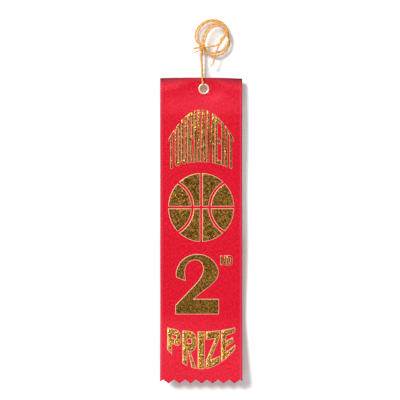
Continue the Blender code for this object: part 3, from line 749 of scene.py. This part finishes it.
# Each regular turn: radius, share it is flattened by on the right, shift of its middle in x
# and height, and place in depth
TURNS = (
    (0.0113, 0.18, 0.0, 0.0, 0.0016),
    (0.0099, 0.04, 0.0002, 0.0004, 0.0005),
)
INNER_TURNS = (
    (0.0016, -0.0005, 0.0205),
    (0.0013, -0.0006, 0.0238),
    (0.0024, -0.0006, 0.0276),
    (0.0050, -0.0006, 0.0316),
    (0.0085, -0.0006, 0.0332),
    (0.0120, -0.0006, 0.0318),
    (0.0148, -0.0005, 0.0284),
    (0.0143, -0.0004, 0.0258),
    (0.0124, -0.0004, 0.0241),
    (0.0117, -0.0004, 0.0218),
    (0.0096, -0.0005, 0.0199),
    (0.0061, -0.0007, 0.0192),
    (0.0030, -0.0010, 0.0186),
    (0.0014, -0.0014, 0.0196),
    (0.0022, -0.0017, 0.0226),
    (0.0035, -0.0018, 0.0266),
    (0.0060, -0.0018, 0.0303),
    (0.0092, -0.0018, 0.0319),
    (0.0128, -0.0018, 0.0310),
    (0.0156, -0.0018, 0.0284),
    (0.0160, -0.0018, 0.0262),
    (0.0142, -0.0018, 0.0245),
    (0.0130, -0.0018, 0.0226),
    (0.0113, -0.0018, 0.0203),
    (0.0100, -0.0018, 0.0176),
    (0.0089, -0.0018, 0.0146),
    (0.0081, -0.0016, 0.0122),
    (0.0078, -0.0014, 0.0103),
    (0.0072, -0.0012, 0.0084),
    (0.0061, -0.0010, 0.0069),
)


def knot_wraps():
    """Wraps of the knot, a short upright helix round both leads."""
    x, y, z = KNOT_MIDDLE
    steps = round(KNOT_WRAPS * 10)
    for step in range(steps + 1):
        share = step / steps
        angle = math.pi / 2 + 2 * math.pi * KNOT_WRAPS * share
        yield (x + KNOT_WRAP_RADIUS * math.cos(angle), y + KNOT_WRAP_RADIUS * math.sin(angle),
               z + KNOT_HEIGHT * (share - 0.5))


def regular_turns():
    """Clockwise turns, each held in at the knot and a little flatter on the right."""
    knot_angle = math.atan2(KNOT_MIDDLE[2] - COIL_MIDDLE[1], KNOT_MIDDLE[0] - COIL_MIDDLE[0])
    for radius, flat, shift_x, shift_z, depth in TURNS:
        for step in range(1, TURN_STEPS):
            turned = 2 * math.pi * step / TURN_STEPS
            from_knot = min(turned, 2 * math.pi - turned)
            held = math.exp(-(from_knot / KNOT_HOLD) ** 2)
            angle = knot_angle - turned
            from_flat = (angle - FLAT_ANGLE + math.pi) % (2 * math.pi) - math.pi
            round_reach = radius * (1 - flat * math.exp(-(from_flat / FLAT_SPREAD) ** 2))
            reach = round_reach + (KNOT_REACH - round_reach) * held
            yield (COIL_MIDDLE[0] + shift_x * (1 - held) + reach * math.cos(angle),
                   depth * (1 - 0.6 * held),
                   COIL_MIDDLE[1] + shift_z * (1 - held) + reach * math.sin(angle))


def smooth_line(places, spacing):
    """Evenly spaced points on a smooth curve through the places."""
    knots = [Vector((x, y, FOLD_TOP + z)) for x, y, z in places]
    padded = [2 * knots[0] - knots[1], *knots, 2 * knots[-1] - knots[-2]]
    fine = [knots[0]]
    for before, start, end, after in zip(padded, padded[1:], padded[2:], padded[3:]):
        out, into = start + (end - before) / 6, end - (after - start) / 6
        fine += interpolate_bezier(start, out, into, end, 13)[1:]
    points = [fine[0]]
    left = spacing
    for start, end in zip(fine, fine[1:]):
        length = (end - start).length
        while left <= length:
            points.append(start.lerp(end, left / length))
            left += spacing
        left -= length
    return points


def twisted_tube(name, points, outline, pitch, finish):
    """A mesh tube of the given outline that turns once in each pitch along the points."""
    section = bpy.data.curves.new(name + "_section", "CURVE")
    section.dimensions = "2D"
    spline = section.splines.new("POLY")
    spline.points.add(len(outline) - 1)
    for point, (u, v) in zip(spline.points, outline):
        point.co = (u, v, 0, 1)
    spline.use_cyclic_u = True
    section_obj = bpy.data.objects.new(name + "_section", section)
    bpy.context.scene.collection.objects.link(section_obj)
    line = bpy.data.curves.new(name + "_line", "CURVE")
    line.dimensions = "3D"
    line.bevel_mode = "OBJECT"
    line.bevel_object = section_obj
    line.use_fill_caps = True
    spline = line.splines.new("POLY")
    spline.points.add(len(points) - 1)
    along = 0.0
    for number, point in enumerate(points):
        if number:
            along += (point - points[number - 1]).length
        spline.points[number].co = (*point, 1)
        spline.points[number].tilt = 2 * math.pi * along / pitch
    line_obj = bpy.data.objects.new(name + "_line", line)
    bpy.context.scene.collection.objects.link(line_obj)
    bpy.context.view_layer.update()
    mesh = bpy.data.meshes.new_from_object(
        line_obj.evaluated_get(bpy.context.evaluated_depsgraph_get()))
    for obj in (line_obj, section_obj):
        bpy.data.objects.remove(obj, do_unlink=True)
    bm = bmesh.new()
    bm.from_mesh(mesh)
    bpy.data.meshes.remove(mesh)
    along_line = bm.verts.layers.float.new("along")
    bm.verts.ensure_lookup_table()
    for number, v in enumerate(bm.verts):
        v[along_line] = number // len(outline) * along / (len(points) - 1)
    bmesh.ops.remove_doubles(bm, verts=bm.verts, dist=1e-7)
    bmesh.ops.recalc_face_normals(bm, faces=bm.faces)
    return new_object(name, bm, finish)


def ply_outline(width, waist, count=16):
    """Section of two plies side by side: wide across both, with a waist between them."""
    outline = []
    for step in range(count):
        angle = 2 * math.pi * step / count
        reach = waist + (width - waist) * abs(math.cos(angle)) ** 1.5
        outline.append((reach * math.cos(angle), reach * math.sin(angle)))
    return outline


# Spun rayon string, dyed gold: soft fibres that lean with the twist, a low silky sheen.
# A fibre is 0.02 mm; the fibres are drawn in tufts of about 0.4 mm so that they show.
string_finish = new_material("gold_spun_rayon")
tree = string_finish.node_tree
along = add_node(tree, "ShaderNodeAttribute", attribute_name="along")
place = add_node(tree, "ShaderNodeTexCoord")
fibre = add_node(tree, "ShaderNodeTexNoise", {
    "Vector": place.outputs["Object"], "Scale": 1 / 0.0004, "Detail": 4.0, "Roughness": 0.7})
patch = add_node(tree, "ShaderNodeTexNoise", {
    "W": along.outputs["Fac"], "Scale": 1 / 0.009, "Detail": 1.0}, noise_dimensions="1D")
fibre_colour = add_node(tree, "ShaderNodeMix", {
    0: fibre.outputs["Fac"], 6: srgb("#C47C1C"), 7: srgb("#FFC566")}, data_type="RGBA")
dyed = add_node(tree, "ShaderNodeMix", {
    0: patch.outputs["Fac"], 6: fibre_colour.outputs[2], 7: srgb("#E4A040")}, data_type="RGBA")
fibre_bump = add_node(tree, "ShaderNodeBump", {
    "Height": fibre.outputs["Fac"], "Strength": 0.7, "Distance": 0.00008})
shader = add_node(tree, "ShaderNodeBsdfPrincipled", {
    "Base Color": dyed.outputs[2], "Normal": fibre_bump.outputs[0], "Roughness": 0.5,
    "Sheen Weight": 0.15, "Sheen Roughness": 0.35, "Sheen Tint": srgb("#FFE3B0")})
add_node(tree, "ShaderNodeOutputMaterial", {"Surface": shader.outputs[0]})

places = [*SHORT_END, *LEADS, *knot_wraps(), *regular_turns(), *INNER_TURNS]
string_line = smooth_line(places, STRING_STEP)
string = twisted_tube("hanging_string", string_line,
                      ply_outline(STRING_DIAMETER / 2, STRING_WAIST), TWIST_PITCH, string_finish)
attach(string, "string")
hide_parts("cord_loop", "cord_knot", "cord_coil", "cord_tail", "cord_short_end_upper")

# The second ply of the cut end has come apart and stands away by itself
LOOSE_PLY_HALF_WIDTH = 0.00034
LOOSE_PLY_WAIST = 0.00026
LOOSE_PLY = (
    (-0.0048, -0.0006, 0.0153),
    (-0.0031, -0.0007, 0.0160),
    (-0.0014, -0.0004, 0.0168),
    (-0.0002, 0.0000, 0.0176),
    (0.0008, 0.0002, 0.0182),
)
loose_ply = twisted_tube("string_loose_ply", smooth_line(LOOSE_PLY, STRING_STEP),
                         ply_outline(LOOSE_PLY_HALF_WIDTH, LOOSE_PLY_WAIST),
                         TWIST_PITCH / 2, string_finish)
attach(loose_ply, "string")
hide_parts("cord_short_end_lower")
